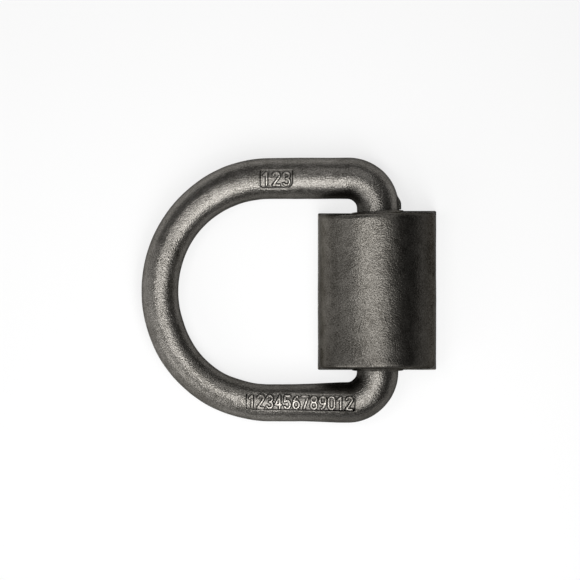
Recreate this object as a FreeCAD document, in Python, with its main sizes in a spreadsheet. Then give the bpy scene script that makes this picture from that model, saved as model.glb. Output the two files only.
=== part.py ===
import FreeCAD, Part
import math
import os

import Sketcher

# Weld-on lashing ring: a forged D-shaped ring whose straight bar turns under a forged half-round bracket.
# The origin is the centre of the bracket's footprint on the plane that it is welded to, and +Z is up.
# The ring lies flat towards -X, and its bar runs along Y.

# Driving dimensions in millimetres and degrees: alias, value and meaning.
SIZES = (
    ("stock_diameter", 16.0, "round bar of the ring at its straight bar and arms"),
    ("crown_diameter", 14.5, "round bar where it is drawn thinner round the crown"),
    ("inside_width", 76.2, "clear width between the ring's two arms"),
    ("inside_length", 73.7, "clear length from the straight bar to the crown"),
    ("notch_radius", 4.0, "inside radius where an arm turns into the bar"),
    ("taper_angle", 30.0, "turn of the crown over which the bar thins"),
    ("land_proud", 0.3, "how far the trimmed parting land stands out of the round bar"),
    ("land_height", 2.0, "height of the parting land"),
    ("panel_depth", 0.5, "depth of the sunken marking panels"),
    ("panel_corner", 0.9, "corner radius of the panels"),
    ("panel_inset", 0.7, "how far the panels lie inwards of their arms' centre lines"),
    ("short_panel_length", 13.6, "short panel, along its arm"),
    ("short_panel_width", 7.6, "short panel, across its arm"),
    ("short_panel_reach", 41.7, "from the bar's axis back to the middle of the short panel"),
    ("short_panel_cut", 2.4, "radius of the short panel's one large corner"),
    ("long_panel_length", 45.0, "long panel, along its arm"),
    ("long_panel_width", 6.8, "long panel, across its arm"),
    ("long_panel_reach", 31.7, "from the bar's axis back to the middle of the long panel"),
    ("long_panel_slant", 1.0, "turn of the long panel out of line with its arm"),
    ("bar_clearance", 0.8, "room between the ring's bar and the bracket's channel, all round"),
    ("bracket_length", 66.0, "bracket, along the bar"),
    ("bracket_width", 49.0, "bracket, across the bar at its feet"),
    ("leg_height", 4.2, "upright stretch of the bracket's sides below its round back"),
    ("foot_land_proud", 0.4, "trimmed land round the foot of the bracket, outwards"),
    ("foot_land_height", 1.5, "trimmed land round the foot of the bracket, upwards"),
    ("foot_corner", 0.6, "corner radius of the feet, seen from above"),
    ("end_draft", 2.0, "forging draft of the bracket's two end faces"),
    ("back_bevel", 1.3, "bevel where the bracket's back meets its end faces"),
    ("collar_width", 1.6, "raised collar round the channel's two mouths, across"),
)
VALUE = {alias: value for alias, value, meaning in SIZES}

# Sizes that follow from the driving ones, as expressions on the sheet.
BAR_RADIUS = "Sizes.stock_diameter / 2"
BAR_HALF = f"({BAR_RADIUS} + Sizes.land_proud)"
ARM_OFFSET = f"(Sizes.inside_width / 2 + {BAR_HALF})"
BEND_RADIUS = f"(Sizes.notch_radius + {BAR_HALF})"
CROWN_REACH = f"(Sizes.inside_length + {BAR_HALF} + Sizes.crown_diameter / 2 + Sizes.land_proud)"
CROWN_CENTRE = f"({CROWN_REACH} - {ARM_OFFSET})"
PANEL_OFFSET = f"({ARM_OFFSET} - Sizes.panel_inset)"
PANEL_ROOT = f"({BAR_HALF} + Sizes.stock_diameter / 4)"
CHANNEL_RADIUS = f"({BAR_HALF} + Sizes.bar_clearance)"
BACK_RADIUS = "(Sizes.bracket_width / 2 - Sizes.foot_land_proud)"

# The same sizes as numbers, to draw each sketch close to where its constraints will hold it.
bar_radius = VALUE["stock_diameter"] / 2
bar_half = bar_radius + VALUE["land_proud"]
arm_offset = VALUE["inside_width"] / 2 + bar_half
bend_radius = VALUE["notch_radius"] + bar_half
crown_reach = VALUE["inside_length"] + bar_half + VALUE["crown_diameter"] / 2 + VALUE["land_proud"]
crown_centre = crown_reach - arm_offset
channel_radius = bar_half + VALUE["bar_clearance"]
back_radius = VALUE["bracket_width"] / 2 - VALUE["foot_land_proud"]

# Names for the points of a sketch's edges, and for its origin.
START = 1
END = 2
CENTRE = 3
ORIGIN = (-1, 1)
QUARTER_TURN = 90


def make_sheet(doc):
    """The spreadsheet of driving dimensions, one row each."""
    sheet = doc.addObject("Spreadsheet::Sheet", "Sizes")
    for row, (alias, value, meaning) in enumerate(SIZES, start=1):
        sheet.set(f"A{row}", alias)
        sheet.set(f"B{row}", str(value))
        sheet.set(f"C{row}", meaning)
        sheet.setAlias(f"B{row}", alias)
    doc.recompute()


def origin_plane(body, role):
    """One of the body's own origin planes."""
    return next(feature for feature in body.Origin.OriginFeatures if feature.Role == role)


def new_sketch(body, name, role, turn=None, shift=None):
    """A sketch on an origin plane, turned about one of its axes and then shifted by expressions."""
    sketch = body.newObject("Sketcher::SketchObject", name)
    sketch.AttachmentSupport = [(origin_plane(body, role), "")]
    sketch.MapMode = "FlatFace"
    if turn:
        axis, angle, expression = turn
        rotation = FreeCAD.Rotation(axis, angle)
        sketch.AttachmentOffset = FreeCAD.Placement(FreeCAD.Vector(0, 0, 0), rotation)
        sketch.setExpression("AttachmentOffset.Rotation.Angle", expression)
    for axis_name, expression in (shift or {}).items():
        sketch.setExpression("AttachmentOffset.Base." + axis_name, expression)
    return sketch


def line(sketch, start, end):
    """A straight edge of a sketch."""
    edge = Part.LineSegment(FreeCAD.Vector(*start, 0), FreeCAD.Vector(*end, 0))
    return sketch.addGeometry(edge, False)


def arc(sketch, centre, radius, start_angle, end_angle):
    """A round edge of a sketch, anticlockwise from one angle to the other in degrees."""
    circle = Part.Circle(FreeCAD.Vector(*centre, 0), FreeCAD.Vector(0, 0, 1), radius)
    edge = Part.ArcOfCircle(circle, math.radians(start_angle), math.radians(end_angle))
    return sketch.addGeometry(edge, False)


def hold(sketch, kind, *places):
    """A constraint without a size."""
    sketch.addConstraint(Sketcher.Constraint(kind, *places))


def drive(sketch, kind, places, value, expression):
    """A constraint whose size is bound to the sheet."""
    index = sketch.addConstraint(Sketcher.Constraint(kind, *places, value))
    sketch.setExpression(f"Constraints[{index}]", expression)


def pin_point(sketch, edge, end, place, expressions):
    """Holds a point of a sketch at a distance from the sketch's origin along each axis."""
    for kind, axis, value, expression in zip(("DistanceX", "DistanceY"), (-2, -1), place, expressions):
        if expression is None:
            hold(sketch, "PointOnObject", edge, end, axis)
        elif value < 0:
            drive(sketch, kind, (edge, end, *ORIGIN), -value, expression)
        else:
            drive(sketch, kind, (*ORIGIN, edge, end), value, expression)


def round_section(body, name, role, diameter, centre, expressions, turn=None, shift=None):
    """A plain round section of the bar. The sizes are pairs of a number and its expression."""
    sketch = new_sketch(body, name, role, turn, shift)
    circle = Part.Circle(FreeCAD.Vector(*centre, 0), FreeCAD.Vector(0, 0, 1), diameter[0] / 2)
    edge = sketch.addGeometry(circle, False)
    drive(sketch, "Diameter", (edge,), diameter[0], diameter[1])
    pin_point(sketch, edge, CENTRE, centre, expressions)
    return sketch


def forged_section(body, name, role, diameter, centre, expressions, turn=None, shift=None):
    """The bar's forged section: a circle with a low flat land on each side, where the dies parted."""
    sketch = new_sketch(body, name, role, turn, shift)
    radius = diameter[0] / 2
    half_land = VALUE["land_height"] / 2
    reach = radius + VALUE["land_proud"]
    root = math.sqrt(radius**2 - half_land**2)
    rise = math.degrees(math.asin(half_land / radius))
    u, v = centre
    edges = (
        arc(sketch, centre, radius, rise, 180 - rise),
        line(sketch, (u - root, v + half_land), (u - reach, v + half_land)),
        line(sketch, (u - reach, v + half_land), (u - reach, v - half_land)),
        line(sketch, (u - reach, v - half_land), (u - root, v - half_land)),
        arc(sketch, centre, radius, 180 + rise, 360 - rise),
        line(sketch, (u + root, v - half_land), (u + reach, v - half_land)),
        line(sketch, (u + reach, v - half_land), (u + reach, v + half_land)),
        line(sketch, (u + reach, v + half_land), (u + root, v + half_land)),
    )
    for edge, following in zip(edges, edges[1:] + edges[:1]):
        hold(sketch, "Coincident", edge, END, following, START)
    top, left_top, left, left_foot, foot, right_foot, right, right_top = edges
    hold(sketch, "Coincident", top, CENTRE, foot, CENTRE)
    hold(sketch, "Equal", top, foot)
    for edge in (left_top, left_foot, right_foot, right_top):
        hold(sketch, "Horizontal", edge)
    for edge in (left, right):
        hold(sketch, "Vertical", edge)
        drive(sketch, "Distance", (edge,), 2 * half_land, "Sizes.land_height")
    half_height = "Sizes.land_height / 2"
    half_width = f"{diameter[1]} / 2 + Sizes.land_proud"
    drive(sketch, "DistanceY", (top, CENTRE, left, START), half_land, half_height)
    drive(sketch, "DistanceY", (top, CENTRE, right, END), half_land, half_height)
    drive(sketch, "DistanceX", (left, START, top, CENTRE), reach, half_width)
    drive(sketch, "DistanceX", (top, CENTRE, right, START), reach, half_width)
    drive(sketch, "Diameter", (top,), diameter[0], diameter[1])
    pin_point(sketch, top, CENTRE, centre, expressions)
    return sketch


def crown_path(body, name, start_angle, end_angle, start_turn=None, end_turn=None):
    """A stretch of the crown's centre line, by its angles from the axis X and the turns that drive them."""
    sketch = new_sketch(body, name, "XY_Plane", shift={"z": BAR_HALF})
    edge = arc(sketch, (-crown_centre, 0), arm_offset, start_angle, end_angle)
    drive(sketch, "Radius", (edge,), arm_offset, ARM_OFFSET)
    pin_point(sketch, edge, CENTRE, (-crown_centre, 0), (CROWN_CENTRE, None))
    for end, angle, turn in ((START, start_angle, start_turn), (END, end_angle, end_turn)):
        across = arm_offset * math.cos(math.radians(angle - QUARTER_TURN))
        if turn:
            drive(sketch, "DistanceY", (*ORIGIN, edge, end), across, f"{ARM_OFFSET} * cos({turn} * 1 deg)")
        elif across > 1:
            hold(sketch, "Vertical", edge, end, edge, CENTRE)
        else:
            hold(sketch, "PointOnObject", edge, end, -1)
    return sketch


def arm_path(body, name):
    """The centre line from the shoulder along the arm, round its bend and down to the middle of the bar."""
    sketch = new_sketch(body, name, "XY_Plane", shift={"z": BAR_HALF})
    bend_end = arm_offset - bend_radius
    bar = line(sketch, (0, 0), (0, bend_end))
    bend = arc(sketch, (-bend_radius, bend_end), bend_radius, 0, QUARTER_TURN)
    arm = line(sketch, (-bend_radius, arm_offset), (-crown_centre, arm_offset))
    hold(sketch, "Coincident", bar, START, *ORIGIN)
    hold(sketch, "Vertical", bar)
    hold(sketch, "Tangent", bar, END, bend, START)
    hold(sketch, "Tangent", bend, END, arm, START)
    hold(sketch, "Horizontal", arm)
    drive(sketch, "Radius", (bend,), bend_radius, BEND_RADIUS)
    pin_point(sketch, arm, END, (-crown_centre, arm_offset), (CROWN_CENTRE, ARM_OFFSET))
    return sketch


def sweep(body, name, path, sections):
    """The bar swept along a path, from its first section to its last."""
    pipe = body.newObject("PartDesign::AdditivePipe", name)
    pipe.Profile = (sections[0], [""])
    pipe.Spine = (path, [""])
    if len(sections) > 1:
        pipe.Transformation = "Multisection"
        pipe.Sections = list(sections[1:])
    return pipe


def mirror_across_bar(body, name, features):
    """The other half of the ring, across the plane XZ."""
    mirror = body.newObject("PartDesign::Mirrored", name)
    mirror.Originals = features
    mirror.MirrorPlane = (origin_plane(body, "XZ_Plane"), [""])
    body.Tip = mirror
    return mirror


def panel_outline(body, name, reach, side, size, corners, slant=None):
    """A rounded rectangle above an arm, close to the arm's axis, as the outline of a sunken panel.

    size holds the length and the width, and corners the four corner radii from the one at the
    bar's side and +Y round anticlockwise, all as pairs of a number and its expression."""
    turn = (FreeCAD.Vector(0, 0, 1), *slant) if slant else None
    across = PANEL_OFFSET if side > 0 else "-" + PANEL_OFFSET
    shift = {"x": "-" + reach, "y": across, "z": PANEL_ROOT}
    sketch = new_sketch(body, name, "XY_Plane", turn, shift)
    (length, length_name), (width, width_name) = size
    half_length = length / 2
    half_width = width / 2
    radii = [radius for radius, expression in corners]
    signs = ((1, 1), (-1, 1), (-1, -1), (1, -1))
    rounds = []
    for number, ((sign_x, sign_y), radius) in enumerate(zip(signs, radii)):
        middle = (sign_x * (half_length - radius), sign_y * (half_width - radius))
        start = number * QUARTER_TURN
        rounds.append(arc(sketch, middle, radius, start, start + QUARTER_TURN))
    first, second, third, fourth = radii
    sides = (
        line(sketch, (half_length - first, half_width), (second - half_length, half_width)),
        line(sketch, (-half_length, half_width - second), (-half_length, third - half_width)),
        line(sketch, (third - half_length, -half_width), (half_length - fourth, -half_width)),
        line(sketch, (half_length, fourth - half_width), (half_length, half_width - first)),
    )
    for number, edge in enumerate(sides):
        hold(sketch, "Tangent", rounds[number], END, edge, START)
        hold(sketch, "Tangent", edge, END, rounds[(number + 1) % len(sides)], START)
    top, left, foot, right = sides
    for edge in (top, foot):
        hold(sketch, "Horizontal", edge)
    for edge in (left, right):
        hold(sketch, "Vertical", edge)
    drive(sketch, "DistanceY", (*ORIGIN, top, START), half_width, width_name + " / 2")
    drive(sketch, "DistanceY", (foot, START, *ORIGIN), half_width, width_name + " / 2")
    drive(sketch, "DistanceX", (left, START, *ORIGIN), half_length, length_name + " / 2")
    drive(sketch, "DistanceX", (*ORIGIN, right, START), half_length, length_name + " / 2")
    for edge, (radius, expression) in zip(rounds, corners):
        drive(sketch, "Radius", (edge,), radius, expression)
    return sketch


def sink_panel(body, name, outline):
    """Cuts the panel's outline out of the arm, upwards from deep inside it."""
    pocket = body.newObject("PartDesign::Pocket", name)
    pocket.Profile = (outline, [""])
    pocket.Reversed = True
    pocket.setExpression("Length", "Sizes.stock_diameter")
    return pocket


def size_pair(alias):
    """A driving dimension as its number and its expression."""
    return VALUE[alias], "Sizes." + alias


def bar_sections(body, prefix, section, reduction, reduction_text):
    """The sections at the shoulder and where the taper ends, less a reduction of their diameters."""
    stock = (VALUE["stock_diameter"] - reduction, f"(Sizes.stock_diameter{reduction_text})")
    crown = (VALUE["crown_diameter"] - reduction, f"(Sizes.crown_diameter{reduction_text})")
    centre = (arm_offset, bar_half)
    expressions = (ARM_OFFSET, BAR_HALF)
    shift = {"z": "-" + CROWN_CENTRE}
    upright = FreeCAD.Vector(0, 1, 0)
    taper_turn = (upright, VALUE["taper_angle"], "Sizes.taper_angle")
    shoulder = section(body, prefix + "shoulder", "YZ_Plane", stock, centre, expressions, shift=shift)
    taper_end = section(
        body, prefix + "taper_end", "YZ_Plane", crown, centre, expressions, taper_turn, shift
    )
    middle = section(body, prefix + "bar_middle", "XZ_Plane", stock, (0, bar_half), (None, BAR_HALF))
    return shoulder, taper_end, middle


def make_ring(doc):
    """The ring: one forging, swept half by half, with two sunken marking panels on its arms."""
    body = doc.addObject("PartDesign::Body", "d_ring")
    body.Label = "d_ring"
    taper_end_angle = QUARTER_TURN + VALUE["taper_angle"]
    taper_line = crown_path(body, "taper_line", QUARTER_TURN, taper_end_angle, None, "Sizes.taper_angle")
    crown_line = crown_path(
        body, "crown_line", taper_end_angle, 2 * QUARTER_TURN, "Sizes.taper_angle", None
    )
    arm_line = arm_path(body, "arm_line")

    shoulder, taper_end, middle = bar_sections(body, "", forged_section, 0, "")
    arm = sweep(body, "arm", arm_line, (middle,))
    taper = sweep(body, "taper", taper_line, (shoulder, taper_end))
    crown = sweep(body, "crown", crown_line, (taper_end,))
    mirror_across_bar(body, "other_half", [arm, taper, crown])

    corner = size_pair("panel_corner")
    short_outline = panel_outline(
        body,
        "short_outline",
        "Sizes.short_panel_reach",
        1,
        (size_pair("short_panel_length"), size_pair("short_panel_width")),
        (corner, corner, corner, size_pair("short_panel_cut")),
    )
    sink_panel(body, "short_panel", short_outline)
    long_outline = panel_outline(
        body,
        "long_outline",
        "Sizes.long_panel_reach",
        -1,
        (size_pair("long_panel_length"), size_pair("long_panel_width")),
        (corner, corner, corner, corner),
        (-VALUE["long_panel_slant"], "-Sizes.long_panel_slant"),
    )
    sink_panel(body, "long_panel", long_outline)

    # The panels' floors run with the arm at an even depth: a slimmer bar laid back into the cuts.
    inner_shoulder, inner_taper_end, inner_middle = bar_sections(
        body, "floor_", round_section, 2 * VALUE["panel_depth"], " - 2 * Sizes.panel_depth"
    )
    arm_floor = sweep(body, "arm_floor", arm_line, (inner_middle,))
    taper_floor = sweep(body, "taper_floor", taper_line, (inner_shoulder, inner_taper_end))
    mirror_across_bar(body, "other_floor", [arm_floor, taper_floor])
    return body


def arch_profile(body, name, radius, height):
    """An arch over the channel, seen along the bar: round back, upright sides and the channel itself.

    The radius of the back and the height of its centre are pairs of a number and its expression."""
    sketch = new_sketch(body, name, "XZ_Plane")
    outer, outer_name = radius
    leg, leg_name = height
    back = arc(sketch, (0, leg), outer, 0, 180)
    left_side = line(sketch, (-outer, leg), (-outer, 0))
    left_foot = line(sketch, (-outer, 0), (-channel_radius, 0))
    left_wall = line(sketch, (-channel_radius, 0), (-channel_radius, bar_half))
    roof = arc(sketch, (0, bar_half), channel_radius, 0, 180)
    right_wall = line(sketch, (channel_radius, bar_half), (channel_radius, 0))
    right_foot = line(sketch, (channel_radius, 0), (outer, 0))
    right_side = line(sketch, (outer, 0), (outer, leg))
    hold(sketch, "Tangent", back, END, left_side, START)
    hold(sketch, "Coincident", left_side, END, left_foot, START)
    hold(sketch, "Coincident", left_foot, END, left_wall, START)
    hold(sketch, "Tangent", left_wall, END, roof, END)
    hold(sketch, "Tangent", roof, START, right_wall, START)
    hold(sketch, "Coincident", right_wall, END, right_foot, START)
    hold(sketch, "Coincident", right_foot, END, right_side, START)
    hold(sketch, "Tangent", right_side, END, back, START)
    for edge in (left_side, left_wall, right_wall, right_side):
        hold(sketch, "Vertical", edge)
    for edge in (left_foot, right_foot):
        hold(sketch, "PointOnObject", edge, START, -1)
        hold(sketch, "PointOnObject", edge, END, -1)
    drive(sketch, "Radius", (back,), outer, outer_name)
    drive(sketch, "Radius", (roof,), channel_radius, CHANNEL_RADIUS)
    pin_point(sketch, back, CENTRE, (0, leg), (None, leg_name))
    pin_point(sketch, roof, CENTRE, (0, bar_half), (None, BAR_HALF))
    return sketch


def foot_outline(body):
    """The outline of the two feet's trimmed land, one each side of the channel."""
    sketch = new_sketch(body, "feet", "XY_Plane")
    outer = VALUE["bracket_width"] / 2
    end = VALUE["bracket_length"] / 2
    corner = VALUE["foot_corner"]
    for side in (1, -1):
        start = 0 if side > 0 else QUARTER_TURN
        high = arc(sketch, (side * (outer - corner), end - corner), corner, start, start + QUARTER_TURN)
        low_start = start - QUARTER_TURN if side > 0 else start + QUARTER_TURN
        low = arc(
            sketch, (side * (outer - corner), corner - end), corner, low_start, low_start + QUARTER_TURN
        )
        wall = line(sketch, (side * channel_radius, -end), (side * channel_radius, end))
        high_end = line(sketch, (side * channel_radius, end), (side * (outer - corner), end))
        low_end = line(sketch, (side * channel_radius, -end), (side * (outer - corner), -end))
        flank = line(sketch, (side * outer, end - corner), (side * outer, corner - end))
        high_near, high_far = (END, START) if side > 0 else (START, END)
        low_near, low_far = (START, END) if side > 0 else (END, START)
        hold(sketch, "Coincident", wall, END, high_end, START)
        hold(sketch, "Coincident", wall, START, low_end, START)
        hold(sketch, "Tangent", high_end, END, high, high_near)
        hold(sketch, "Tangent", flank, START, high, high_far)
        hold(sketch, "Tangent", flank, END, low, low_far)
        hold(sketch, "Tangent", low_end, END, low, low_near)
        hold(sketch, "Vertical", wall)
        hold(sketch, "Vertical", flank)
        hold(sketch, "Horizontal", high_end)
        hold(sketch, "Horizontal", low_end)
        hold(sketch, "Equal", high, low)
        drive(sketch, "Radius", (high,), corner, "Sizes.foot_corner")
        wall_place = (side * channel_radius, end)
        pin_point(sketch, wall, END, wall_place, (CHANNEL_RADIUS, "Sizes.bracket_length / 2"))
        drive(sketch, "DistanceY", (wall, START, *ORIGIN), end, "Sizes.bracket_length / 2")
        if side > 0:
            drive(sketch, "DistanceX", (*ORIGIN, flank, START), outer, "Sizes.bracket_width / 2")
        else:
            drive(sketch, "DistanceX", (flank, START, *ORIGIN), outer, "Sizes.bracket_width / 2")
    return sketch


def numbered(kind, items, wanted):
    """The names of a shape's edges or faces that a test picks out."""
    return [f"{kind}{number}" for number, item in enumerate(items, start=1) if wanted(item)]


def is_end_face(face):
    """Whether a face is one of the two flat ones that close the arch along the bar."""
    return face.Surface.TypeId == "Part::GeomPlane" and abs(face.normalAt(0, 0).y) > 0.5


def back_rims(shape):
    """The names of the edges that run round the bracket's back, at its two ends."""
    height = VALUE["leg_height"]

    def on_back(point):
        across = abs(point.x) if point.z < height else math.hypot(point.x, point.z - height)
        return abs(across - back_radius) < 0.001

    def is_rim(edge):
        middle = edge.valueAt((edge.FirstParameter + edge.LastParameter) / 2)
        points = [middle] + [vertex.Point for vertex in edge.Vertexes]
        return edge.BoundBox.YLength < VALUE["bracket_length"] / 2 and all(map(on_back, points))

    return numbered("Edge", shape.Edges, is_rim)


def along_bar(body, name, profile, length):
    """An arch drawn out along the bar, as far to one side of the middle as to the other."""
    pad = body.newObject("PartDesign::Pad", name)
    pad.Profile = (profile, [""])
    pad.SideType = "Symmetric"
    pad.setExpression("Length", length)
    return pad


def make_bracket(doc):
    """The bracket: one forging, a half-round saddle with drafted ends over the ring's bar."""
    body = doc.addObject("PartDesign::Body", "weld_bracket")
    body.Label = "weld_bracket"
    arch = arch_profile(body, "arch", (back_radius, BACK_RADIUS), size_pair("leg_height"))
    saddle = along_bar(body, "saddle", arch, "Sizes.bracket_length - 2 * Sizes.foot_land_proud")
    doc.recompute()

    draft = body.newObject("PartDesign::Draft", "drafted_ends")
    doc.recompute()
    draft.Base = (saddle, numbered("Face", saddle.Shape.Faces, is_end_face))
    draft.NeutralPlane = (origin_plane(body, "XY_Plane"), [""])
    draft.setExpression("Angle", "Sizes.end_draft")
    doc.recompute()

    bevel = body.newObject("PartDesign::Chamfer", "bevelled_back")
    bevel.Base = (draft, back_rims(draft.Shape))
    bevel.setExpression("Size", "Sizes.back_bevel")

    collar_radius = (channel_radius + VALUE["collar_width"], f"{CHANNEL_RADIUS} + Sizes.collar_width")
    collar = arch_profile(body, "collar", collar_radius, (bar_half, BAR_HALF))
    along_bar(body, "mouth_collars", collar, "Sizes.bracket_length")

    land = body.newObject("PartDesign::Pad", "foot_land")
    land.Profile = (foot_outline(body), [""])
    land.setExpression("Length", "Sizes.foot_land_height")
    return body


def check_document(doc, bodies):
    """Stops if any feature failed or any solid isn't whole."""
    for feature in doc.Objects:
        if "Invalid" in feature.State or "Error" in feature.State:
            raise RuntimeError(f"{feature.Name} failed: {feature.State}")
    for body in bodies:
        shape = body.Shape
        if shape.isNull() or not shape.isValid() or len(shape.Solids) != 1:
            raise RuntimeError(f"{body.Label} isn't one whole solid")


def main():
    doc = FreeCAD.newDocument("lashing_ring")
    make_sheet(doc)
    bodies = [make_ring(doc), make_bracket(doc)]
    doc.recompute()
    check_document(doc, bodies)
    os.makedirs("parts", exist_ok=True)
    for body in bodies:
        body.Shape.exportStep(os.path.join("parts", body.Label + ".step"))


main()
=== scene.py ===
import math

import bmesh
import bpy
import numpy as np
from mathutils import Matrix, Vector, noise


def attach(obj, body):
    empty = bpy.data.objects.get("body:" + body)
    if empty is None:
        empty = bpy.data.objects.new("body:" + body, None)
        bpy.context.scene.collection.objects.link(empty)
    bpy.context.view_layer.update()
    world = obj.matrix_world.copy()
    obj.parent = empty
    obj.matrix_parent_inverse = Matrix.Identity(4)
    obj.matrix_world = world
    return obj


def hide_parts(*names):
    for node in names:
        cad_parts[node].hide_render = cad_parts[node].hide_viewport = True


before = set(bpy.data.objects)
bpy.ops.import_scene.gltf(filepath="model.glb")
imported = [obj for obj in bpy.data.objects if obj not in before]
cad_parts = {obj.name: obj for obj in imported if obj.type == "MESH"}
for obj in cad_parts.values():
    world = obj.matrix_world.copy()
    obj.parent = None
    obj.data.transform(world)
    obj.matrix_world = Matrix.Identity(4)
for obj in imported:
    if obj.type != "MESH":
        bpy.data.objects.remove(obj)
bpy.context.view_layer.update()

MM = 0.001

# In a pair that smooth() takes, something begins at the first value and is full at the second.

# The ring, in millimetres. Upper means its +Y half and lower its -Y half.
BAR_HEIGHT = 8.3                # height of the ring's centre line, which is the hinge axis
ARM_OFFSET = 46.15              # from the middle of the D to the centre line of an arm
BEND_RADIUS = 12.2              # centre line of the two bends next to the bar
CROWN_CENTRE = -43.4            # where the arms end and the crown begins
LAND_PROUD = 0.3                # parting land, standing out of the round bar
LAND_HALF = 1.0
LAND_EDGE = 0.22                # width of the slope at its edges
FLASH_JOG = 1.03                # how far the untrimmed stub of flash at the bar's +Y end stands out
FLASH_START = (33.15, 33.45)    # lengths from the bar's middle at its two ends
FLASH_END = (37.2, 35.0)

# Half the bar's width with its land, at lengths along the centre line from the middle of the bar.
WIDTHS_UPPER = (
    (0, 8.55), (30, 8.6), (38, 8.65), (46, 8.68), (55, 8.47), (84, 8.45), (92, 8.42), (104, 8.2),
    (117, 7.9), (125, 7.8), (133, 7.65), (157, 7.6),
)
WIDTHS_LOWER = (
    (0, 8.55), (30, 8.6), (38, 8.5), (46, 8.42), (57, 8.3), (66, 7.9), (73, 7.67), (88, 7.62),
    (94, 7.48), (100, 7.52), (108, 7.4), (121, 7.32), (133, 7.55), (141, 7.62), (157, 7.6),
)
# How far the bar's middle strays outwards, at lengths of the same kind: the forging isn't quite even.
STRAY_UPPER = (
    (0, 0.1), (34, 0.1), (46, 0.05), (60, 0), (75, 0), (84, -0.1), (92, 0.08), (100, 0.18), (125, 0.2),
    (133, 0.1), (145, 0.02), (157, 0.05),
)
STRAY_LOWER = (
    (0, 0.1), (30, 0.05), (38, -0.15), (44, -0.35), (52, -0.1), (60, 0), (84, 0.05), (92, 0.2),
    (100, 0.3), (108, 0.68), (118, 0.62), (125, 0.6), (133, 0.45), (141, 0.15), (149, 0.15), (157, 0.05),
)

# Rows of the ring's grid: (end, step) runs from the bar's middle, closest at the flash and the panels.
ROWS_UPPER = ((32.8, 1.0), (37.6, 0.2), (54, 0.7), (73, 1.0), (92, 0.17))
ROWS_LOWER = ((34, 1.0), (48, 0.6), (98.5, 0.17))
CROWN_STEP = 1.1
# Columns of the ring's grid: heights across the land at a radius, then up the side, over the top and below.
LAND_ROWS = (0.0, 0.45, 0.75, 0.88, 1.0, 1.12, 1.3, 1.7, 2.3)
LAND_RADIUS = 8.15
TOP_ANGLE = 60                  # in degrees, where the side ends and the top begins
SIDE_COLUMNS = 10
TOP_COLUMNS = 50
UNDER_COLUMNS = 34

# Sunken panels: middle, length, width, slant in degrees, corner radii, the X between which each is looked
# for, and the row of plain digits on its floor.
SHORT_PANEL = dict(
    middle=(-41.65, 45.6), length=13.6, width=7.6, slant=0.0, corners=(0.7, 0.9, 1.3, 2.6),
    reach=(-52, -30), digits="123", digit_height=5.3, digit_width=2.6, pitch=4.1,
)
LONG_PANEL = dict(
    middle=(-31.75, -45.75), length=44.8, width=6.8, slant=-1.1, corners=(0.9, 0.9, 0.9, 0.9),
    reach=(-57, -5), digits="123456789012", digit_height=5.2, digit_width=2.35, pitch=3.62,
)
PANEL_SINE = 0.45               # panels lie where the section's angle has a sine above this
PANEL_DEPTH = 0.5
WALL_WIDTH = 0.4
WALL_TOP = 0.05                 # the walls reach this far outside the panel's outline
DIGIT_MARGIN = 0.1              # the digits stop this far inside it
DIGIT_RAISE = 0.55
STROKE_HALF = 0.44
STROKE_EDGE = 0.40

# Painted light and shade on the ring's steel, as a share added to or taken from its colour, and where it
# applies.
CREST_PAINTED_HIGHLIGHT = 0.9              # crests of the digits
CREST_HALF = 0.15
ROOT_PAINTED_SHADE = 0.75                # dark lines beside the digits and along the walls
ROOT_OFFSET = 0.22
ROOT_SPREAD = 0.2
RIM_SPREAD = 0.26
RIM_REACH = 0.6
INSIDE_PAINTED_SHADE = 0.35              # inside of the ring, by the cosine of the section's angle
INSIDE_COSINE = (-0.4, -0.8)
BEND_PAINTED_SHADE = 0.2                 # bends beside the bracket
BEND_X = (-26, -10)
ARM_PAINTED_SHADE = 0.25                 # outside of the -Y arm
ARM_X = (-48, -28)
ARM_Y = (-10, -35)
ARM_COSINE = (0.0, 0.5)

# The bracket, in millimetres.
BACK_RADIUS = 24.1
LEG_HEIGHT = 4.2
CHANNEL_RADIUS = 9.1
END_UPPER = 33.05
END_LOWER = 32.95
END_SKEW = 1.0                  # the +Y end falls back by this much towards -X
SKEW_X = (24, -24)
END_DRAFT = 2.0                 # in degrees
BACK_ROUND = 1.9
FOOT_CORNER = 0.55
CORNER_Z = (1.0, 6.0)           # heights over which the foot's corner widens to the back's rounding
FLAT_START = 0.4                # the flat of an end begins this far below the rounding
FLAT_STEPS = 7
COLLAR_WIDTH = 1.7
COLLAR_FOOT = 0.5               # the flat stops this far before the collar
COLLAR_BACK = 0.05              # the collar's face lies this far back from the end's limit
# Distances before the collar's edge, and the share of its height that it has risen there.
COLLAR_RISE = ((0.2, 0.12), (0, 0.5), (-0.2, 0.88), (-0.45, 1.0))
COLLAR_LEVEL_END = 0.45         # it stays level up to this far from the channel
COLLAR_EDGE = 0.35              # radius of its edge at the channel
FOOT_PROUD = 0.4                # land round the foot, standing out of the ends and sides
FOOT_HEIGHT = 1.5
FOOT_EDGE = 0.12
FOOT_ROWS = (0.0, 0.3, 0.9, 1.25, 1.42, 1.5, 1.6, 1.8, 2.4, 3.3)    # heights of the rows below the half round
ARCH_ROWS = 73
BACK_COLUMNS = 56
CHANNEL_COLUMNS = 24
SHARP_ANGLE = 50                # in degrees

# Painted light and shade on the bracket's steel, of the same kind.
FLANK_PAINTED_LIGHT = 0.3              # flank towards the ring
FLANK_X = (-14, -21)
FAR_FLANK_PAINTED_SHADE = 0.5            # far flank, but not the foot's outer edge
FAR_FLANK_X = (-4, 13)
FAR_FOOT_X = (24, 19.5)
BACK_PAINTED_DRIFT = 0.28               # brighter towards the back's +Y end and darker towards its -Y end
DRIFT_UPPER_Y = (0, 30)
DRIFT_LOWER_Y = (-5, -33)
DRIFT_X = (12, 2)
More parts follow.
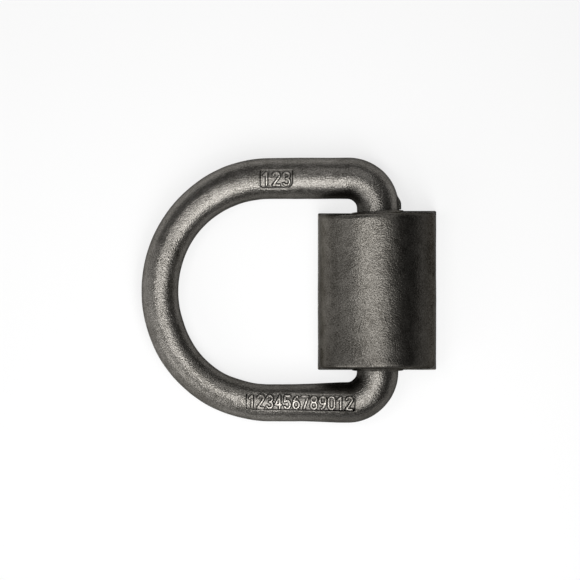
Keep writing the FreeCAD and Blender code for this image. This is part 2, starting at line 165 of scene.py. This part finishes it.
# Painted shadow and highlight along the back's end edges: tone, least distance from the middle, depths, and
# the X of its two ends.
NICK_PAINTED_SHADOW = dict(tone=-0.75, beyond=29.5, depths=(0.8, 2.6), start_x=(-22.0, -20.5), end_x=(-8.0, -10.0))
EDGE_PAINTED_HIGHLIGHT = dict(tone=1.3, beyond=30.2, depths=(0.1, 0.5), start_x=(-23.5, -18.0), end_x=(3.5, 0.0))

# Forged surface, in millimetres: sizes of the coarse and the fine swell, and each piece's seed and heights.
SWELL_SIZES = (17.0, 4.2)
RING_SEED = 3.1
RING_SWELL = (0.10, 0.045)
BRACKET_SEED = 11.3
BRACKET_SWELL = (0.12, 0.05)
CHANNEL_PLAIN = 0.6             # nothing swells up to this far outside the channel
WELD_LEVEL = 0.5                # and up to this height nothing moves up or down

# The set, in metres.
FLOOR_HALF = 4.0
FLOOR_DROP = 0.2 * MM
FLOOR_GREY = (0.93, 0.93, 0.93, 1)
FLOOR_WHITE = 0.75              # share of the floor that is plain white
WORLD_GREY = (0.08, 0.08, 0.08, 1)
LAMP_TARGET = (-0.036, 0.0, 0.012)
# Soft boxes round the target: tilt from straight above, bearing from +X, distance, length, width, watts.
LAMPS = {
    "key": (15, 300, 0.30, 0.14, 0.14, 0.34),
    "key_steep": (40, 290, 0.45, 0.20, 0.20, 0.76),
    "upper_left": (22, 172, 0.40, 0.14, 0.12, 0.39),
    "low_left": (56, 222, 0.75, 0.36, 0.44, 1.2),
    "left": (69, 188, 0.75, 0.40, 0.60, 0.7),
    "low_front": (74, 235, 0.75, 0.30, 0.60, 0.4),
    "upper_right": (46, 72, 0.75, 0.36, 0.40, 0.58),
}
CAMERA_PLACE = (-0.03608, 0.0002, 0.960)
CAMERA_LENS = 143.5


def smooth(edge0, edge1, x):
    """A smooth step from 0 at edge0 to 1 at edge1."""
    t = np.clip((x - edge0) / (edge1 - edge0), 0, 1)
    return t * t * (3 - 2 * t)


def centre_line(s):
    """The closed centre line at lengths s from the bar's middle, which go towards +Y.

    Gives the point, the outward direction, the shorter way round to the bar's middle, whether that way is on
    the lower half, and half of the whole length.
    """
    bar = ARM_OFFSET - BEND_RADIUS
    bend = BEND_RADIUS * math.pi / 2
    arm = -BEND_RADIUS - CROWN_CENTRE
    crown = ARM_OFFSET * math.pi / 2
    half = bar + bend + arm + crown
    s = np.mod(s, 2 * half)
    low = s > half
    t = np.where(low, 2 * half - s, s)
    x = np.zeros_like(t)
    y = t.copy()
    nx = np.ones_like(t)
    ny = np.zeros_like(t)
    m = t > bar
    a = (t[m] - bar) / BEND_RADIUS
    x[m] = -BEND_RADIUS + BEND_RADIUS * np.cos(a)
    y[m] = bar + BEND_RADIUS * np.sin(a)
    nx[m], ny[m] = np.cos(a), np.sin(a)
    m = t > bar + bend
    x[m] = -BEND_RADIUS - (t[m] - bar - bend)
    y[m] = ARM_OFFSET
    nx[m], ny[m] = 0, 1
    m = t > bar + bend + arm
    a = math.pi / 2 + (t[m] - bar - bend - arm) / ARM_OFFSET
    x[m] = CROWN_CENTRE + ARM_OFFSET * np.cos(a)
    y[m] = ARM_OFFSET * np.sin(a)
    nx[m], ny[m] = np.cos(a), np.sin(a)
    y[low] *= -1
    ny[low] *= -1
    return x, y, nx, ny, t, low, half


def spaced(stops):
    """Values from a list of (end, step) runs, each divided evenly."""
    values = [0.0]
    for end, step in stops:
        start = values[-1]
        count = max(1, round((end - start) / step))
        values += [start + (end - start) * (i + 1) / count for i in range(count)]
    return np.array(values)


def along(t, low, upper_stations, lower_stations):
    """A size that varies along the bar, its stations joined by straight runs and then smoothed."""
    grid = np.arange(-20, 180, 0.5)
    reach = 8
    kernel = np.hanning(2 * reach + 1)
    kernel /= kernel.sum()
    out = np.zeros_like(t)
    for stations, mask in ((upper_stations, ~low), (lower_stations, low)):
        at, size = zip(*stations)
        line = np.interp(np.abs(grid), at, size)
        line = np.convolve(np.pad(line, reach, mode="edge"), kernel, mode="valid")
        out[mask] = np.interp(t[mask], grid, line)
    return out


def rounded_box(u, v, half_u, half_v, corners):
    """Signed distance to a rounded rectangle. corners: radii at (+,+), (-,+), (-,-), (+,-)."""
    first, second, third, fourth = corners
    r = np.where(u > 0, np.where(v > 0, first, fourth), np.where(v > 0, second, third))
    qx = np.abs(u) - half_u + r
    qy = np.abs(v) - half_v + r
    return np.minimum(np.maximum(qx, qy), 0) + np.hypot(np.maximum(qx, 0), np.maximum(qy, 0)) - r


def arc_points(cx, cy, rx, ry, start, end, count=14):
    """Points on an elliptical arc, from one angle to another in degrees."""
    angles = [math.radians(start + (end - start) * i / count) for i in range(count + 1)]
    return [(cx + rx * math.cos(a), cy + ry * math.sin(a)) for a in angles]


def digit_strokes(digit, w):
    """A plain upright digit as open lines on a box of width w and height 1."""
    r = w / 2
    if digit == "0":
        path = arc_points(r, 1 - r, r, r, 0, 180) + arc_points(r, r, r, r, 180, 360)
        return [path + path[:1]]
    if digit == "1":
        return [[(0.1 * w, 0.78), (0.55 * w, 1), (0.55 * w, 0)]]
    if digit == "2":
        return [arc_points(r, 1 - r, r, r, 165, -35) + [(0, 0), (w, 0)]]
    if digit == "3":
        upper = arc_points(r, 0.755, 0.92 * r, 0.245, 150, -90)
        lower = arc_points(r, 0.265, r, 0.265, 90, -150)
        return [upper + lower]
    if digit == "4":
        return [[(0.72 * w, 0), (0.72 * w, 1), (0, 0.28), (w, 0.28)]]
    if digit == "5":
        return [[(0.92 * w, 1), (0.12 * w, 1), (0.06 * w, 0.54)] + arc_points(r, 0.31, r, 0.31, 125, -150)]
    if digit == "6":
        loop = arc_points(r, 0.3, r, 0.3, 0, 360)
        stem = arc_points(0.95 * w, 0.3, 0.95 * w, 0.7, 180, 105)
        return [loop, stem]
    if digit == "7":
        return [[(0, 1), (w, 1), (0.36 * w, 0)]]
    if digit == "8":
        return [arc_points(r, 0.755, 0.9 * r, 0.245, 0, 360), arc_points(r, 0.265, r, 0.265, 0, 360)]
    # what is left is 9
    loop = arc_points(r, 0.7, r, 0.3, 0, 360)
    stem = arc_points(0.05 * w, 0.7, 0.95 * w, 0.7, 0, -75)
    return [loop, stem]


def stroke_distance(u, v, panel):
    """Distance from the middle lines of the panel's digits, in a row centred on (0, 0), where one is near."""
    digits, pitch = panel["digits"], panel["pitch"]
    height, width = panel["digit_height"], panel["digit_width"]
    far, margin, tiny = 1e3, 2, 1e-9
    best = np.full(u.shape, far)
    left = -pitch * (len(digits) - 1) / 2 - width / 2
    for index, digit in enumerate(digits):
        x0 = left + index * pitch
        near = (u > x0 - margin) & (u < x0 + width + margin)
        if not near.any():
            continue
        uu, vv = u[near], v[near]
        d = best[near]
        for path in digit_strokes(digit, width / height):
            for (ax, ay), (bx, by) in zip(path, path[1:]):
                start_x, start_y = x0 + ax * height, (ay - 0.5) * height
                end_x, end_y = x0 + bx * height, (by - 0.5) * height
                ex, ey = end_x - start_x, end_y - start_y
                length2 = ex * ex + ey * ey
                if length2 < tiny:
                    continue
                k = np.clip(((uu - start_x) * ex + (vv - start_y) * ey) / length2, 0, 1)
                d = np.minimum(d, np.hypot(uu - start_x - k * ex, vv - start_y - k * ey))
        best[near] = d
    return best


def panel_relief(x, y, panel):
    """How far the surface rises at plan points, less than 0 on the panel's floor, and the painted light and
    shade there.
    """
    a = math.radians(panel["slant"])
    dx, dy = x - panel["middle"][0], y - panel["middle"][1]
    u = dx * math.cos(a) + dy * math.sin(a)
    v = -dx * math.sin(a) + dy * math.cos(a)
    edge = rounded_box(u, v, panel["length"] / 2, panel["width"] / 2, panel["corners"])
    sink = PANEL_DEPTH * (1 - smooth(-WALL_WIDTH, WALL_TOP, edge))
    strokes = stroke_distance(u, v, panel)
    raised = DIGIT_RAISE * (1 - smooth(STROKE_HALF - STROKE_EDGE / 2, STROKE_HALF + STROKE_EDGE / 2, strokes))
    inside = edge < -DIGIT_MARGIN
    # painted shade in the corners of the relief, and a painted highlight on the crests of the digits
    root = np.exp(-((strokes - STROKE_HALF - ROOT_OFFSET) / ROOT_SPREAD) ** 2) * inside
    rim = np.exp(-((edge + WALL_WIDTH / 2) / RIM_SPREAD) ** 2)
    crest = (1 - smooth(CREST_HALF, STROKE_HALF, strokes)) * inside
    tone = CREST_PAINTED_HIGHLIGHT * crest - ROOT_PAINTED_SHADE * np.maximum(root, rim) * (1 - crest)
    return raised * inside - sink, np.where(edge < RIM_REACH, tone, 0)


def forged(points, seed, coarse, fine):
    """Height of the uneven forged surface at points in millimetres: a coarse and a fine swell."""
    coarse_size, fine_size = SWELL_SIZES
    # each piece has its own part of the pattern
    shift = Vector((seed, seed * 1.7, seed * 0.3))
    out = np.empty(len(points))
    for i, p in enumerate(points):
        q = Vector(p) + shift
        out[i] = coarse * noise.noise(q / coarse_size) + fine * noise.noise(q / fine_size)
    return out


def grid_mesh(name, points, shade, closed_rows, closed_columns):
    """A mesh of quads over a grid of points (rows, columns, 3) in millimetres, with painted light and shade
    at each point.
    """
    rows, columns = points.shape[:2]
    index = np.arange(rows * columns).reshape(rows, columns)
    if closed_rows:
        index = np.vstack([index, index[:1]])
    if closed_columns:
        index = np.hstack([index, index[:, :1]])
    corners = [index[:-1, :-1], index[1:, :-1], index[1:, 1:], index[:-1, 1:]]
    quads = np.stack(corners, axis=-1).reshape(-1, 4)
    mesh = bpy.data.meshes.new(name)
    mesh.vertices.add(rows * columns)
    mesh.vertices.foreach_set("co", (points.reshape(-1, 3) * MM).astype(np.float32).ravel())
    mesh.loops.add(quads.size)
    mesh.loops.foreach_set("vertex_index", quads.ravel().astype(np.int32))
    mesh.polygons.add(len(quads))
    mesh.polygons.foreach_set("loop_start", np.arange(0, quads.size, 4, dtype=np.int32))
    mesh.update(calc_edges=True)
    mesh.validate()
    tone = mesh.attributes.new("shade", "FLOAT", "POINT")
    tone.data.foreach_set("value", shade.astype(np.float32).ravel())
    return mesh


def link(name, mesh, material):
    """Put a mesh into the scene with its material, shaded smooth."""
    obj = bpy.data.objects.new(name, mesh)
    bpy.context.scene.collection.objects.link(obj)
    mesh.materials.append(material)
    for p in mesh.polygons:
        p.use_smooth = True
    return obj


def section_angles():
    """Angles round the bar's section, closest on the parting lands and on top, where the panels are."""
    land = [math.degrees(math.asin(z / LAND_RADIUS)) for z in LAND_ROWS]
    start = land[-1]
    side = np.linspace(start, TOP_ANGLE, SIDE_COLUMNS)[1:]
    top = np.linspace(TOP_ANGLE, 180 - TOP_ANGLE, TOP_COLUMNS)[1:-1]
    under = np.linspace(180 + start, 360 - start, UNDER_COLUMNS)[1:-1]
    angles = land + list(side) + list(top)
    angles += [180 - a for a in side[::-1]] + [180 - a for a in land[::-1]]
    angles += [180 + a for a in land[1:]] + list(under) + [360 - a for a in land[:0:-1]]
    return np.radians(np.array(angles))


def ring_painted_light(panel_painted_light, x, y, co):
    """Painted light and shade on the ring's steel at each point of its grid, with that of the panels in it.
    """
    # painted shade on the inside of the ring
    shade = panel_painted_light - INSIDE_PAINTED_SHADE * smooth(*INSIDE_COSINE, co)
    # painted shade on the bends beside the bracket, and on the outside of the -Y arm
    shade = shade - BEND_PAINTED_SHADE * smooth(*BEND_X, x)
    return shade - ARM_PAINTED_SHADE * smooth(*ARM_X, x) * smooth(*ARM_Y, y) * smooth(*ARM_COSINE, co)


def make_ring(material):
    """The ring: a grid whose rows are sections of the forged bar, set along its centre line."""
    half = centre_line(np.array([0.0]))[-1]
    upper = spaced((*ROWS_UPPER, (half, CROWN_STEP)))
    lower = spaced((*ROWS_LOWER, (half, CROWN_STEP)))
    s = np.concatenate([upper[:-1], 2 * half - lower[::-1][:-1]])
    x, y, nx, ny, t, low, _ = centre_line(s)
    half_width = along(t, low, WIDTHS_UPPER, WIDTHS_LOWER)
    stray = along(t, low, STRAY_UPPER, STRAY_LOWER)
    x, y = x + nx * stray, y + ny * stray
    angles = section_angles()
    co, si = np.cos(angles)[None, :], np.sin(angles)[None, :]

    def surface(radius):
        """Points of the grid at a radius round the centre line."""
        return np.stack([
            x[:, None] + nx[:, None] * radius * co,
            y[:, None] + ny[:, None] * radius * co,
            BAR_HEIGHT + radius * si,
        ], axis=-1)

    core = (half_width - LAND_PROUD)[:, None]
    height = core * np.abs(si)
    proud = LAND_PROUD * (1 - smooth(LAND_HALF - LAND_EDGE / 2, LAND_HALF + LAND_EDGE / 2, height))
    # a stub of flash left on the outside of the bar, just clear of the bracket's +Y end
    jog = smooth(*FLASH_END, t) * smooth(*FLASH_START, t) * (~low)
    proud = proud * (1 + FLASH_JOG / LAND_PROUD * jog[:, None] * (co > 0))
    radius = core + proud

    even = surface(radius)
    px, py = even[..., 0], even[..., 1]
    relief = np.zeros_like(radius)
    # painted light and shade of the panels
    tone = np.zeros_like(radius)
    on_top = np.broadcast_to(si > PANEL_SINE, radius.shape)
    for panel, on_its_half in ((SHORT_PANEL, py > 0), (LONG_PANEL, py < 0)):
        start, end = panel["reach"]
        here = on_top & on_its_half & (px > start) & (px < end)
        relief[here], tone[here] = panel_relief(px[here], py[here], panel)
    swell = forged(even.reshape(-1, 3), RING_SEED, *RING_SWELL).reshape(radius.shape)

    points = surface(radius + relief + swell)
    mesh = grid_mesh("ring", points, ring_painted_light(tone, px, py, co), True, True)
    ring = link("forged_ring", mesh, material)
    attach(ring, "ring")
    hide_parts("d_ring")
    return ring


def arch_rows():
    """Rows round the arch from the left foot to the right: outer point, outward direction, channel point."""
    channel_side = BAR_HEIGHT - LEG_HEIGHT
    length = 2 * channel_side + math.pi * CHANNEL_RADIUS
    rows = [((-BACK_RADIUS, z), (-1.0, 0.0), (-CHANNEL_RADIUS, z)) for z in FOOT_ROWS]
    for k, a in enumerate(np.radians(np.linspace(180, 0, ARCH_ROWS))):
        outer = (BACK_RADIUS * math.cos(a), LEG_HEIGHT + BACK_RADIUS * math.sin(a))
        run = length * k / (ARCH_ROWS - 1)
        if run < channel_side:
            inner = (-CHANNEL_RADIUS, LEG_HEIGHT + run)
        elif run > length - channel_side:
            inner = (CHANNEL_RADIUS, LEG_HEIGHT + length - run)
        else:
            b = math.pi - (run - channel_side) / CHANNEL_RADIUS
            inner = (CHANNEL_RADIUS * math.cos(b), BAR_HEIGHT + CHANNEL_RADIUS * math.sin(b))
        rows.append((outer, (math.cos(a), math.sin(a)), inner))
    rows += [((BACK_RADIUS, z), (1.0, 0.0), (CHANNEL_RADIUS, z)) for z in FOOT_ROWS[::-1]]
    return rows


def above_foot_land(z):
    """0 at the height of the land round the foot, 1 above it."""
    return float(smooth(FOOT_HEIGHT - FOOT_EDGE, FOOT_HEIGHT + FOOT_EDGE, np.array(z)))


def end_face(z, limit):
    """Y of an end face at a height: drafted, with the land of the foot standing out at the bottom."""
    return limit - FOOT_PROUD * above_foot_land(z) - z * math.tan(math.radians(END_DRAFT))


def end_points(oz, dz, thick, limit):
    """Down one end from the back's rounding to the channel's mouth: depth below the back, and y."""
    corner = FOOT_CORNER + (BACK_ROUND - FOOT_CORNER) * float(smooth(*CORNER_Z, np.array(oz)))
    mouth = limit - COLLAR_BACK
    side = []
    for a in (90, 75, 60, 45, 30, 15, 0):
        r = math.radians(a)
        depth = corner * (1 - math.sin(r))
        side.append((depth, end_face(oz - dz * depth, limit) - corner * (1 - math.cos(r))))
    flat_to = thick - COLLAR_WIDTH - COLLAR_FOOT
    for k in range(FLAT_STEPS + 1):
        depth = BACK_ROUND + FLAT_START + (flat_to - BACK_ROUND - FLAT_START) * k / FLAT_STEPS
        side.append((depth, end_face(oz - dz * depth, limit)))
    # the collar round the mouth rises from the face and stays level up to its edge
    for before, share in (*COLLAR_RISE, (COLLAR_LEVEL_END - COLLAR_WIDTH, 1.0)):
        depth = thick - COLLAR_WIDTH - before
        face = end_face(oz - dz * depth, limit)
        side.append((depth, face + (mouth - face) * share))
    for a in (60, 30, 0):
        drop = COLLAR_EDGE * (1 - math.sin(math.radians(a)))
        side.append((thick - drop, mouth - drop))
    return side


def painted_edge_mark(distance, depth, x, mark):
    """Painted shadow or painted highlight, as the mark's tone gives, along one end edge of the back, at
    distances from the middle towards that end.
    """
    shallow, deep = mark["depths"]
    on_edge = (distance > mark["beyond"]) & (depth > shallow) & (depth < deep)
    return mark["tone"] * on_edge * smooth(*mark["start_x"], x) * smooth(*mark["end_x"], x)


def bracket_painted_light(points):
    """Painted light and shade on the bracket's steel at each point of its grid."""
    x, y = points[..., 0], points[..., 1]
    # painted light on the flank towards the ring, and painted shade on the far one down to near its foot
    shade = FLANK_PAINTED_LIGHT * smooth(*FLANK_X, x)
    shade = shade - FAR_FLANK_PAINTED_SHADE * smooth(*FAR_FLANK_X, x) * smooth(*FAR_FOOT_X, x)
    # painted light towards the back's +Y end and painted shade towards its -Y end
    shade = shade + BACK_PAINTED_DRIFT * (smooth(*DRIFT_UPPER_Y, y) - smooth(*DRIFT_LOWER_Y, y)) * smooth(*DRIFT_X, x)
    # a painted shadow in a nick along the back's +Y edge, and a painted highlight along the -Y edge
    depth = BACK_RADIUS - np.hypot(x, points[..., 2] - LEG_HEIGHT)
    return shade + painted_edge_mark(y, depth, x, NICK_PAINTED_SHADOW) + painted_edge_mark(-y, depth, x, EDGE_PAINTED_HIGHLIGHT)


def close_feet(mesh, rows, columns):
    """Close the first and last rows of the bracket's grid with one flat face each."""
    bm = bmesh.new()
    bm.from_mesh(mesh)
    bm.verts.ensure_lookup_table()
    first = [bm.verts[c] for c in range(columns)]
    last = [bm.verts[(rows - 1) * columns + c] for c in range(columns)]
    bm.faces.new(first)
    bm.faces.new(last[::-1])
    bmesh.ops.recalc_face_normals(bm, faces=bm.faces[:])
    bm.to_mesh(mesh)
    bm.free()


def make_bracket(material):
    """The bracket: a grid whose rows are loops over the back, down an end, along the channel and up again."""
    rows = arch_rows()
    points = []
    for (ox, oz), _, (ix, iz) in rows:
        thick = math.hypot(ox - ix, oz - iz)
        dx, dz = (ox - ix) / thick, (oz - iz) / thick
        proud = FOOT_PROUD * (1 - above_foot_land(oz))
        skew = END_SKEW * float(smooth(*SKEW_X, np.array(ox)))
        upper = end_points(oz, dz, thick, END_UPPER - skew)
        lower = end_points(oz, dz, thick, END_LOWER)
        loop = [(d, -y) for d, y in lower[::-1]]
        loop += [(0.0, y) for y in np.linspace(-lower[0][1], upper[0][1], BACK_COLUMNS)[1:-1]]
        loop += upper
        loop += [(thick, y) for y in np.linspace(upper[-1][1], -lower[-1][1], CHANNEL_COLUMNS)[1:-1]]
        side = 1 if ox > 0 else -1
        points.append([
            (ox - dx * d + side * proud * max(0.0, 1 - d / (BACK_ROUND + FLAT_START)), y, oz - dz * d)
            for d, y in loop
        ])
    points = np.array(points)
    swell = forged(points.reshape(-1, 3), BRACKET_SEED, *BRACKET_SWELL).reshape(points.shape[:2])
    directions = np.array([[a[0], 0, a[1]] for _, a, _ in rows])
    from_axis = np.hypot(points[..., 0], points[..., 2] - BAR_HEIGHT)
    move = directions[:, None, :] * (swell * (from_axis > CHANNEL_RADIUS + CHANNEL_PLAIN))[..., None]
    move[..., 2] *= (points[..., 2] > WELD_LEVEL)
    mesh = grid_mesh("bracket", points + move, bracket_painted_light(points), False, True)
    close_feet(mesh, *points.shape[:2])
    bracket = link("arch_bracket", mesh, material)
    mesh.set_sharp_from_angle(angle=math.radians(SHARP_ANGLE))
    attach(bracket, "bracket")
    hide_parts("weld_bracket")
    return bracket


def node(tree, kind, **values):
    """A shader node, each value set on the socket of that name, or else as a setting of the node."""
    made = tree.nodes.new(kind)
    for key, value in values.items():
        if key in made.inputs:
            made.inputs[key].default_value = value
        else:
            setattr(made, key, value)
    return made


def maximum(tree, a, b):
    """The larger of two outputs."""
    larger = node(tree, "ShaderNodeMath", operation="MAXIMUM")
    tree.links.new(a, larger.inputs[0])
    tree.links.new(b, larger.inputs[1])
    return larger.outputs[0]


def steel(name, dark, light, roughness, tint, grain):
    """Shot-blasted self-colour steel: a metal with fine craters, soft mottling and uneven gloss."""
    material = bpy.data.materials.new(name)
    material.use_nodes = True
    tree = material.node_tree
    tree.nodes.clear()
    out = node(tree, "ShaderNodeOutputMaterial")
    shader = node(tree, "ShaderNodeBsdfPrincipled")
    shader.inputs["Metallic"].default_value = 1.0
    shader.inputs["Specular Tint"].default_value = (*tint, 1)
    place = node(tree, "ShaderNodeTexCoord")

    def noise_at(size_mm, detail, rough=0.5):
        """Noise of a size on the object."""
        n = node(tree, "ShaderNodeTexNoise", Scale=1000.0 / size_mm, Detail=detail, Roughness=rough)
        tree.links.new(place.outputs["Object"], n.inputs["Vector"])
        return n

    def blend(a, b, share):
        """Output a times share, plus b, which is a number or an output."""
        m = node(tree, "ShaderNodeMath", operation="MULTIPLY_ADD")
        tree.links.new(a, m.inputs[0])
        m.inputs[1].default_value = share
        if isinstance(b, (int, float)):
            m.inputs[2].default_value = b
        else:
            tree.links.new(b, m.inputs[2])
        return m.outputs[0]

    speck = noise_at(0.52, 1.0)
    swell = noise_at(2.6, 2.0)
    mottle = noise_at(5.0, 3.0, 0.6)
    drift = noise_at(26.0, 2.0)
    craters = node(tree, "ShaderNodeTexVoronoi", Scale=1000.0 / 0.7, feature="SMOOTH_F1")
    craters.inputs["Smoothness"].default_value = 0.25
    tree.links.new(place.outputs["Object"], craters.inputs["Vector"])

    height = blend(craters.outputs["Distance"], 0.0, 0.5)
    height = blend(swell.outputs["Fac"], height, 0.8)
    height = blend(speck.outputs["Fac"], height, 1.0)
    bump = node(tree, "ShaderNodeBump", Strength=1.0, Distance=grain * MM)
    tree.links.new(height, bump.inputs["Height"])
    tree.links.new(bump.outputs["Normal"], shader.inputs["Normal"])

    # the number in the first line brings the middle of the sum to 0.5, which is midway from dark to light
    tone = blend(drift.outputs["Fac"], -0.9, 0.5)
    tone = blend(mottle.outputs["Fac"], tone, 0.8)
    tone = blend(speck.outputs["Fac"], tone, 1.5)
    ramp = node(tree, "ShaderNodeMapRange")
    ramp.inputs["From Min"].default_value = 0.15
    ramp.inputs["From Max"].default_value = 0.85
    tree.links.new(tone, ramp.inputs["Value"])
    # in a colour mix, inputs 6 and 7 are the two colours and output 2 is the result
    mix = node(tree, "ShaderNodeMix", data_type="RGBA")
    mix.inputs[6].default_value = (*dark, 1)
    mix.inputs[7].default_value = (*light, 1)
    tree.links.new(ramp.outputs["Result"], mix.inputs["Factor"])
    # the colour is scaled by the painted light and shade in each piece's shade attribute
    shade = node(tree, "ShaderNodeAttribute", attribute_name="shade")
    shaded = node(tree, "ShaderNodeVectorMath", operation="SCALE")
    tree.links.new(mix.outputs[2], shaded.inputs[0])
    tree.links.new(blend(shade.outputs["Fac"], 1.0, 1.0), shaded.inputs["Scale"])
    tree.links.new(shaded.outputs[0], shader.inputs["Base Color"])

    # mottled by 0.12 in all, which lies evenly about the roughness given
    gloss = blend(mottle.outputs["Fac"], roughness - 0.06, 0.12)
    tree.links.new(gloss, shader.inputs["Roughness"])
    tree.links.new(shader.outputs["BSDF"], out.inputs["Surface"])
    return material


def floor_material():
    """Pale floor, a share of it plain white to the camera and in reflections. The rest keeps the shadow."""
    material = bpy.data.materials.new("pale_floor")
    material.use_nodes = True
    tree = material.node_tree
    shader = tree.nodes["Principled BSDF"]
    shader.inputs["Base Color"].default_value = FLOOR_GREY
    shader.inputs["Roughness"].default_value = 0.9
    shader.inputs["Specular IOR Level"].default_value = 0.1
    path = node(tree, "ShaderNodeLightPath")
    seen = maximum(tree, path.outputs["Is Camera Ray"], path.outputs["Is Glossy Ray"])
    seen = maximum(tree, seen, path.outputs["Is Transmission Ray"])
    share = node(tree, "ShaderNodeMath", operation="MULTIPLY")
    tree.links.new(seen, share.inputs[0])
    share.inputs[1].default_value = FLOOR_WHITE
    white = node(tree, "ShaderNodeEmission", Strength=1.0)
    white.inputs["Color"].default_value = (1, 1, 1, 1)
    mix = node(tree, "ShaderNodeMixShader")
    tree.links.new(share.outputs[0], mix.inputs["Fac"])
    tree.links.new(shader.outputs["BSDF"], mix.inputs[1])
    tree.links.new(white.outputs["Emission"], mix.inputs[2])
    tree.links.new(mix.outputs["Shader"], tree.nodes["Material Output"].inputs["Surface"])
    return material


def make_floor():
    """One wide face, just below the weld plane."""
    corners = [(-FLOOR_HALF, -FLOOR_HALF, 0), (FLOOR_HALF, -FLOOR_HALF, 0)]
    corners += [(FLOOR_HALF, FLOOR_HALF, 0), (-FLOOR_HALF, FLOOR_HALF, 0)]
    mesh = bpy.data.meshes.new("floor")
    mesh.from_pydata(corners, [], [(0, 1, 2, 3)])
    mesh.materials.append(floor_material())
    floor = bpy.data.objects.new("floor", mesh)
    floor.location.z = -FLOOR_DROP
    bpy.context.scene.collection.objects.link(floor)
    return floor


def area_light(name, place, target, length, width, watts):
    """A soft box aimed at the target, its length lying along the slope towards the target's vertical."""
    lamp = bpy.data.lights.new(name, "AREA")
    lamp.shape = "RECTANGLE"
    lamp.size, lamp.size_y = width, length
    lamp.energy = watts
    obj = bpy.data.objects.new(name, lamp)
    obj.location = place
    back = (place - target).normalized()
    side = Vector((0, 0, 1)).cross(back).normalized()
    up = back.cross(side)
    obj.rotation_euler = Matrix((side, up, back)).transposed().to_euler()
    obj.visible_camera = False
    bpy.context.scene.collection.objects.link(obj)
    return obj


def make_lights():
    """The soft boxes, and a dim grey world."""
    target = Vector(LAMP_TARGET)
    for name, (tilt, bearing, distance, length, width, watts) in LAMPS.items():
        t, b = math.radians(tilt), math.radians(bearing)
        away = Vector((math.sin(t) * math.cos(b), math.sin(t) * math.sin(b), math.cos(t)))
        area_light(name, target + distance * away, target, length, width, watts)
    world = bpy.data.worlds.new("studio")
    world.use_nodes = True
    background = world.node_tree.nodes["Background"]
    background.inputs["Color"].default_value = WORLD_GREY
    background.inputs["Strength"].default_value = 1.0
    bpy.context.scene.world = world


def make_camera():
    """The camera, unturned, so that it looks straight down."""
    camera = bpy.data.cameras.new("camera")
    camera.sensor_width = 36
    camera.lens = CAMERA_LENS
    camera.clip_start, camera.clip_end = 0.01, 20
    obj = bpy.data.objects.new("camera", camera)
    obj.location = CAMERA_PLACE
    bpy.context.scene.collection.objects.link(obj)
    bpy.context.scene.camera = obj


make_camera()
make_floor()
make_lights()
ring_steel = steel(
    "ring_blasted_steel", dark=(0.112, 0.105, 0.093), light=(0.276, 0.262, 0.242),
    roughness=0.34, tint=(0.40, 0.40, 0.40), grain=0.13,
)
bracket_steel = steel(
    "bracket_blasted_steel", dark=(0.066, 0.061, 0.053), light=(0.180, 0.170, 0.154),
    roughness=0.38, tint=(0.25, 0.25, 0.25), grain=0.11,
)
make_ring(ring_steel)
make_bracket(bracket_steel)

scene = bpy.context.scene
scene.view_settings.view_transform = "Standard"
